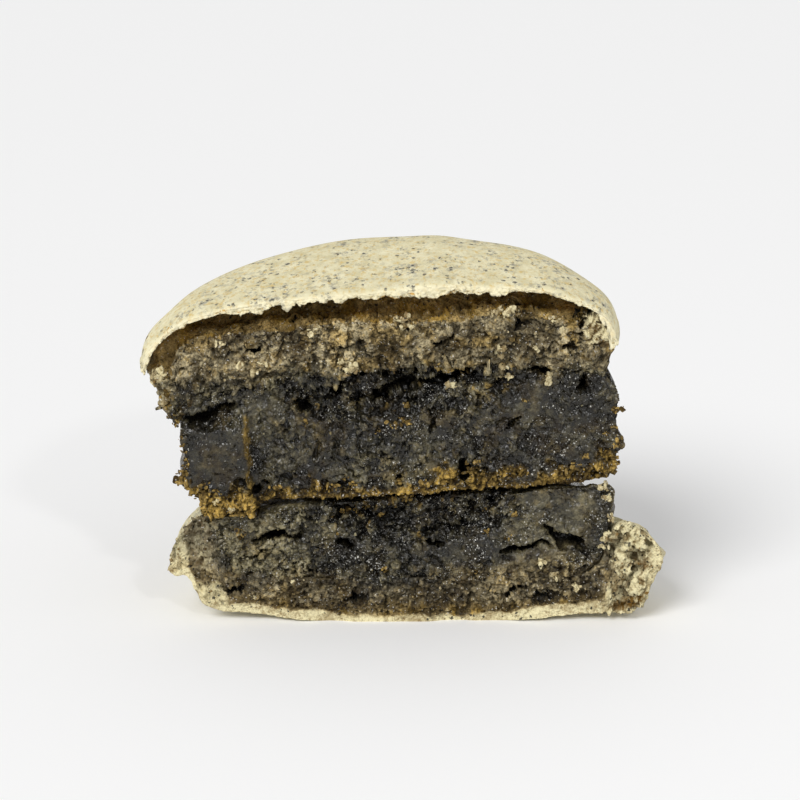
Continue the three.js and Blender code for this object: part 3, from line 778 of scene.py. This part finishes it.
grid, k, h, on_break, front = slab(SHELL_X, crumb_rim, crumb_under, crumb_over, (490, 110, 8, 72, 60))
x, _, z = np.moveaxis(grid, -1, 0).copy()
wx, wz = x + 0.7 * cloud(grid, 1.8, 3, 82), z + 0.6 * cloud(grid, 1.8, 3, 83)
holes = pits(wx, wz, (13.9, 17.0, 1.6, 1.1), (5.5, 16.2, 1.1, 0.5, 20), (-13, 16, 1.0, 0.3, -10),
             (19.2, 16.3, 0.7, 1.4, -10), (-4, 15.4, 1.2, 0.5, 15), (20.5, 18.0, 0.5, 0.7, 20),
             (21.2, 16.8, 0.45, 0.5), (1.5, 17.2, 1.0, 0.5), (22.0, 15.4, 0.5, 0.35), (17.6, 14.6, 0.8, 0.5))
sunk = 0.45 * cloud(grid, 6, 3, 67) + 1.6 * holes + 0.15 * np.maximum(z - 15, 0)
grid[..., 1] += step(0.9, 1, k) * on_break * sunk
strong = np.where(on_break & (k > 0.6), 1.0 - 0.5 * step(21.0, 22.0, x), 0.5)
rise, own2, own3, seam2 = torn(grid, 500, on_break, 0.6 * strong, 0.6 * strong, strong)
rise = rise + 0.35 * strong * cloud(grid, 1.6, 3, 84)
grid += outward(grid) * rise[..., None]
pale = soaked(grid)
bright = step(0.2, 0.6, cloud(grid, 2.2, 3, 88))
shade = unit(0.27 + 0.22 * own2 + 0.22 * own3 + 0.15 * bright + 0.25 * cloud(grid, 3.0, 3, 89)
             + 0.06 * step(-12, 0, x) + 0.02 * step(5, 12, x))
# Painted shade: the low places of the relief, darkened where shade falls in hollows.
hollow_shade = step(0.0, -0.35, rise) * strong
pocket = step(0.995, 0.95, k) * step(0.5, 1, h)
porous = step(19.2, 20.3, wx) * on_break * step(14.2, 15.0, z) * (1 - pocket)
end = step(-22.2, -23.4, wx)
soft_tone = unit(shade**2 + 0.18 * pocket + 0.25 * end)
# Painted shade in the crumb's creases and low places, weaker in the pocket and the porous end.
crack_shade = (0.15 * seam2 + 0.5 * hollow_shade) * strong * (1 - 0.8 * pocket) * (1 - 0.7 * porous)
marks = {
    "tone": np.where(porous > 0.5, 0.95 + 0.5 * (shade - 0.5) - 0.8 * hollow_shade, soft_tone),
    "pale": np.where(on_break, np.maximum(pale, 0.1), 0.9),
    "skin": np.where(on_break, np.maximum(0.8 * end, 0.9 * porous), 0.35 * step(0.3, 0.8, h) * (1 - pocket)),
    "gold": unit((0.6 + 0.15 * step(5, 12, x)) * step(0.1, 0.6, cloud(grid, 1.4, 3, 90)) + 0.7 * pocket),
    # Painted shade in creases, low places and holes.
    "painted_shade": unit(crack_shade + 0.6 * holes * (1 - 0.2 * porous)),
    "speck": 0.13 - 0.06 * porous,
    "glint": 0.12 + 0 * x,
}
crumb_pale = (paint(60, 48, 28), paint(224, 208, 166))
crumb_material = crumb_look("upper crumb", filling_dark, crumb_pale, shell_skin, 0.2, 0.4)
grid = leaning(grid)
upper_crumb = build("upper_crumb_look", grid, marks, crumb_material)
torn_faces.append(face_of(grid, marks, front, strong))
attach(upper_crumb, "root")
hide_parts("upper_shell")

# Upper shell: skin
# The baked outside of the upper shell: a smooth, dry dome under a millimetre thick, cream with ground sesame
# all through it. It overhangs at the sides, and along the break its edge is rounded, paler and finely toothed.

SKIN = 0.8


def skin_over(x, y):
    """The outside of the dome, with slight dents, rounded down at the break, never below the rim."""
    edge = unit((BREAK_Y + 0.8 - y) / 0.8)
    return np.maximum(dome(x, y, 0) + 0.14 * waves(flat(x, y), 7, 101) - 0.3 * edge**2, lip(x, y) + 0.5)


def skin_under(x, y):
    """The inside of the dome, down to the lip; at the break it is finely toothed, and thinner at both ends."""
    here = flat(x, y)
    teeth = (0.3 + 0.2 * step(12, 17, x)) * cloud(here, 0.9, 2, 102) + 0.25 * cloud(here, 3.5, 2, 104)
    thin = np.maximum(step(9, 14, x) * step(22, 20.5, x), step(-15, -21, x)) * step(BREAK_Y + 3, BREAK_Y + 1, y)
    inner = dome(x, y, SKIN * (1 - 0.55 * thin)) + step(BREAK_Y + 1.5, BREAK_Y, y) * teeth
    return np.maximum(np.minimum(inner, skin_over(x, y) - 0.3), lip(x, y) - 0.2)


grid, k, h, on_break, _ = slab(SHELL_X, skin_rim, skin_under, skin_over, (520, 150, 46, 12, 80))
y = grid[..., 1].copy()
sunk = 0.3 * cloud(grid, 3.5, 3, 103) + 0.15 * cloud(grid, 0.8, 2, 105) - 0.4
grid[..., 1] += step(0.9, 1, k) * on_break * sunk
wall = np.where(on_break & (k > 0.99), 1.0, 0.0)
inside = np.where(h < 0.5, 1.0, 0.0)
ragged = np.maximum(0.3 * wall, 0.8 * inside * step(BREAK_Y + 14, BREAK_Y, y))
rise, own2, own3, seam2 = torn(grid, 600, on_break, 0.3 * ragged, 0.6 * ragged, 0.8 * ragged)
grid += outward(grid) * rise[..., None]
marks = {
    "inside": np.where(on_break, inside * (1 - wall) * step(1.0, 0.985, k), inside * step(0.985, 0.96, k)),
    "brow": np.maximum(step(0.96, 1, k) * on_break * (1 - inside), wall),
    "tone": unit(0.2 + 0.4 * own2 + 0.4 * own3) ** 2,
    # Painted shade in the creases of the toothed edge.
    "painted_shade": unit(0.3 * ragged * seam2),
}

skin_material, shader = material("upper skin")
place = Shade.place()
hue, uneven = baked(place)
hue = mix(mark("brow") * 0.5, hue, paint(245, 236, 202))
hue = mix(mark("inside"), hue, mix(mark("tone"), paint(184, 138, 64), paint(250, 222, 152)))
# Painted shade: the creases are darkened to brown in the colour.
hue = mix(mark("painted_shade"), hue, paint(58, 42, 18))
bump = Shade.node("ShaderNodeBump", {}, {"Height": uneven, "Strength": 0.4, "Distance": 0.0003})
link(shader, Base_Color=hue, Roughness=0.75, Normal=bump, Specular_IOR_Level=0.25)
upper_skin = build("upper_skin_look", leaning(grid), marks, skin_material)
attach(upper_skin, "root")
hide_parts("upper_shell")

# Loose crumbs
# Bits that came away as the macaron was pulled in two and still cling to the broken face: cream bits of the
# shell, golden bits of the browned base, and a scatter of small grains.

CHUNKS = 14  # to a clump
GRAIN_SHARE = 0.016  # of the loosest points on the broken face


def lumps(name, points, sizes, finish, marks, material, seed):
    """Angular crumbs in one mesh: each is a ball cut by eight flat faces that stand at random, so its radius
    along any way is the least, over the faces, of the face's distance divided by how squarely that way meets
    it. Finish is how often the ball, an icosphere, is divided."""
    ball = bmesh.new()
    bmesh.ops.create_icosphere(ball, subdivisions=finish, radius=1)
    way = np.array([corner.co for corner in ball.verts])
    faces = np.array([[corner.index for corner in face.verts] for face in ball.faces])
    ball.free()
    rng = np.random.default_rng(seed)
    facing = rng.normal(size=(len(points), 8, 3))
    facing /= np.linalg.norm(facing, axis=-1, keepdims=True)
    meet = np.einsum("vi,nfi->nvf", way, facing)
    radius = np.min(rng.uniform(0.35, 0.9, (len(points), 1, 8)) / np.maximum(meet, 0.05), axis=-1).clip(0, 1.1)
    squash = rng.uniform(0.4, 1.3, (len(points), 1, 3))
    places = points[:, None] + 0.5 * sizes[:, None, None] * squash * way * radius[..., None]
    every = (faces[None] + len(way) * np.arange(len(points))[:, None, None]).reshape(-1, 3)
    spread = {mark: np.repeat(values, len(way)) for mark, values in marks.items()}
    return joined(name, places.reshape(-1, 3), every, spread, material, smooth=False)


def clinging(bits):
    """Where each bit, given by its place across and up the broken face, touches it: at the nearest point."""
    face = np.concatenate([points for points, *_ in torn_faces])
    apart = (face[None, ::3, 0] - bits[:, 0, None]) ** 2 + (face[None, ::3, 2] - bits[:, 1, None]) ** 2
    return face[::3][np.argmin(apart, axis=1)]


# Each clump of crumbs: its place across and up the broken face, and its size
cream = np.array([
    (-25.2, 26.5, 1.7), (-6.7, 27.1, 1.9), (-7.4, 27.8, 1), (8.5, 29.2, 1.1), (8.3, 28.1, 1.2),
    (8.8, 26.9, 1.2), (9.1, 26.1, 0.9), (13.1, 26, 1.7), (12.3, 26.5, 0.9), (3.5, 25, 1.4), (-1.2, 31.7, 1.6),
    (-0.4, 31.2, 1.3), (-1.9, 31.9, 1), (8, 32.7, 1.6), (9, 32.9, 1.4), (9.8, 33.3, 0.9), (13.6, 31.9, 1.3),
    (14.5, 31.2, 1.2), (11.8, 29.3, 0.8), (-10.7, 30.6, 1), (-9.9, 31.4, 1), (-17.7, 27.5, 1.2),
    (-16.2, 26.9, 1), (-19.5, 29.6, 1), (-15.5, 27.7, 1.1), (17.1, 30.8, 1.2), (19.1, 9, 1.2), (18.9, 8.1, 1),
    (19.4, 9.6, 0.9), (-16.7, 2.7, 1.1), (-15.9, 3, 1), (3.2, 1.1, 0.7), (18.9, 14.2, 1.3), (19.3, 13.1, 1),
    (-20.2, 4.3, 1), (-12.7, 4.3, 0.8), (12.8, 6.4, 1.2), (20, 11.1, 1), (14.3, 4.8, 1), (16.3, 3.8, 1),
    (-18.7, 26.1, 1.3), (-20.3, 13.3, 0.8), (-18.6, 12.6, 0.7), (-26, 25.5, 1.2), (-25.5, 26.2, 1.2)])
golden = np.array([
    (-21.5, 13.6, 1.5), (-20.7, 13.1, 1.5), (-19.5, 12.8, 1.6), (-18.3, 12.5, 1.2), (-17.7, 12, 1),
    (-21.2, 12.4, 1.2), (-21.9, 14.6, 1), (-23.9, 15.6, 1.5), (-24.3, 16.6, 1.4), (-23.7, 17.3, 0.8),
    (-21.2, 15, 1), (-20.2, 14.2, 1), (20.7, 22.8, 1.4), (20.2, 23, 0.9), (20.1, 19.4, 1.1), (19.6, 18.7, 1.1),
    (18.9, 20.2, 0.7), (5.5, 16.3, 1.6), (6.5, 15.4, 1.5), (7.5, 14.8, 1.4), (6.1, 17.1, 1), (14.8, 16.3, 1.4),
    (15.8, 16.8, 1.1), (13.9, 15.4, 1.2), (16.8, 17.8, 1), (11.1, 15.9, 1.1), (-7.2, 15.4, 1.2),
    (-6.2, 14.9, 1.1), (-8.2, 14.6, 1), (-1.7, 14.9, 1.2), (0.8, 15, 1.2), (2.3, 15.2, 1.1), (-14.2, 14.4, 1.2),
    (-13.2, 13.8, 1.1), (-15.5, 14.7, 1), (-11.2, 21.2, 1), (-2.4, 21.1, 1.3), (-1.5, 21.5, 0.9),
    (-3.9, 20.4, 0.8), (-1.1, 22.7, 0.9), (-0.9, 21.3, 0.8), (2.3, 27.1, 1.3), (10.7, 23.6, 0.7),
    (-7.2, 11.1, 1.4), (-6.1, 11.5, 1.2), (-4.9, 11.9, 1.1), (-3.7, 11.1, 1), (-1.2, 13.1, 2), (-7.7, 9.2, 1),
    (-18, 9.3, 1.3), (9.8, 11.6, 1), (7, 11.6, 0.9), (7, 9.4, 1.2), (9.5, 9, 1), (6.1, 5.3, 0.8),
    (-6.7, 12.6, 1), (-8.7, 11.1, 0.9), (-11.7, 6.4, 0.8), (-3.2, 5.5, 0.9), (-24.9, 23.3, 1), (-24.6, 22, 0.9),
    (-24.2, 20.9, 0.8), (-25.1, 24.5, 1.1), (-23.9, 20.2, 0.7), (-23.6, 19.4, 0.6), (-23.4, 18.6, 0.7),
    (-23.3, 17.8, 0.6), (-24, 21.5, 0.7), (20, 20.9, 0.6), (20.3, 17.6, 1), (20.1, 16.9, 1), (19.2, 16.6, 1)])


def clumps(name, bits, share, skin, gold, tones, seed):
    """Each bit as a clump of chunks, heaped at random about the point where it touches; share is the least and
    the greatest size of a chunk as a part of the clump's, and tones are the least and the greatest tone."""
    rng = np.random.default_rng(seed)
    size = np.repeat(bits[:, 2], CHUNKS)
    heap = rng.normal(size=(len(size), 3)) * [0.21, 0.11, 0.18]
    points = np.repeat(clinging(bits), CHUNKS, axis=0) + size[:, None] * heap
    level = np.ones(len(size))
    marks = {"tone": rng.uniform(*tones, len(size)), "pale": level, "skin": skin * level, "gold": gold * level,
             "painted_shade": 0 * level, "speck": 0.1 * level, "glint": 0.1 * level}
    return lumps(name, points, size * rng.uniform(*share, len(size)), 2, marks, crumb_material, seed + 1)


cream_bits = clumps("cream_crumbs", cream, (0.25, 0.65), 0.75, 0.0, (0.2, 0.95), 701)
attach(cream_bits, "root")
golden_bits = clumps("golden_crumbs", golden, (0.16, 0.52), 0.0, 0.9, (0.0, 0.6), 705)
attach(golden_bits, "root")

rng = np.random.default_rng(703)
face, face_marks, strength = zip(*torn_faces)
face = np.concatenate(face)
chosen = np.flatnonzero(rng.random(len(face)) < GRAIN_SHARE * step(0.35, 0.9, np.concatenate(strength)))
grain_marks = {name: np.concatenate([marks[name] for marks in face_marks])[chosen] for name in face_marks[0]}
grain_marks["tone"] = 0.05 + 0.7 * rng.random(len(chosen)) ** 3
grain_marks["painted_shade"] = 0 * grain_marks["painted_shade"]
grain_sizes = 0.15 + 0.35 * rng.random(len(chosen)) ** 2
grain_points = face[chosen] - grain_sizes[:, None] * [0, 0.2, 0]
grain_bits = lumps("grains", grain_points, grain_sizes, 1, grain_marks, crumb_material, 704)
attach(grain_bits, "root")

# Studio
# A pale floor, even white light all round, a soft sun from above and in front, and a small lamp that makes
# moist grains glint.

floor_mesh = bpy.data.meshes.new("floor")
floor_mesh.from_pydata([(-2, -2, 0), (2, -2, 0), (2, 2, 0), (-2, 2, 0)], [], [(0, 1, 2, 3)])
floor_material, shader = material("floor")
link(shader, Base_Color=(0.95, 0.95, 0.95, 1), Roughness=0.9, Specular_IOR_Level=0.1)
floor_mesh.materials.append(floor_material)
floor = put("floor", floor_mesh)

world = bpy.data.worlds.new("studio")
world.use_nodes = True
sky = world.node_tree.nodes["Background"].inputs
sky["Color"].default_value = (1, 1, 1, 1)
sky["Strength"].default_value = 0.54
bpy.context.scene.world = world


def lamp(name, kind, place, size, power):
    """A lamp of that kind at a place, turned to shine at the macaron; a sun's size is its width in radians, an
    area lamp's is in metres."""
    light = bpy.data.lights.new(name, kind)
    light.energy = power
    setattr(light, "angle" if kind == "SUN" else "size", size)
    made = put(name, light)
    made.location = place
    made.rotation_euler = (Vector(place) - Vector((0, 0, 0.02))).to_track_quat("Z", "Y").to_euler()


lamp("sun", "SUN", (-0.20, -0.32, 0.34), 0.5, 1.85)
lamp("glint", "AREA", (0.14, -0.36, 0.26), 0.03, 0.25)

# Camera
# A long lens, square on to the broken face and 16 degrees above the table, so that part of the top shows, as in
# the photo.

TARGET = np.array([UPPER_X, BREAK_Y, 23.55])
AWAY = 260.0
RAISE = math.radians(16)
FIELD = 80.0  # the width that the picture shows at the target
SENSOR = 36.0
camera = put("camera", bpy.data.cameras.new("camera"))
camera.location = (TARGET + AWAY * np.array([0, -math.cos(RAISE), math.sin(RAISE)])) * 0.001
camera.rotation_euler = (math.pi / 2 - RAISE, 0, 0)
camera.data.sensor_width = SENSOR
camera.data.lens = SENSOR * AWAY / FIELD
bpy.context.scene.camera = camera
bpy.context.scene.view_settings.view_transform = "Standard"
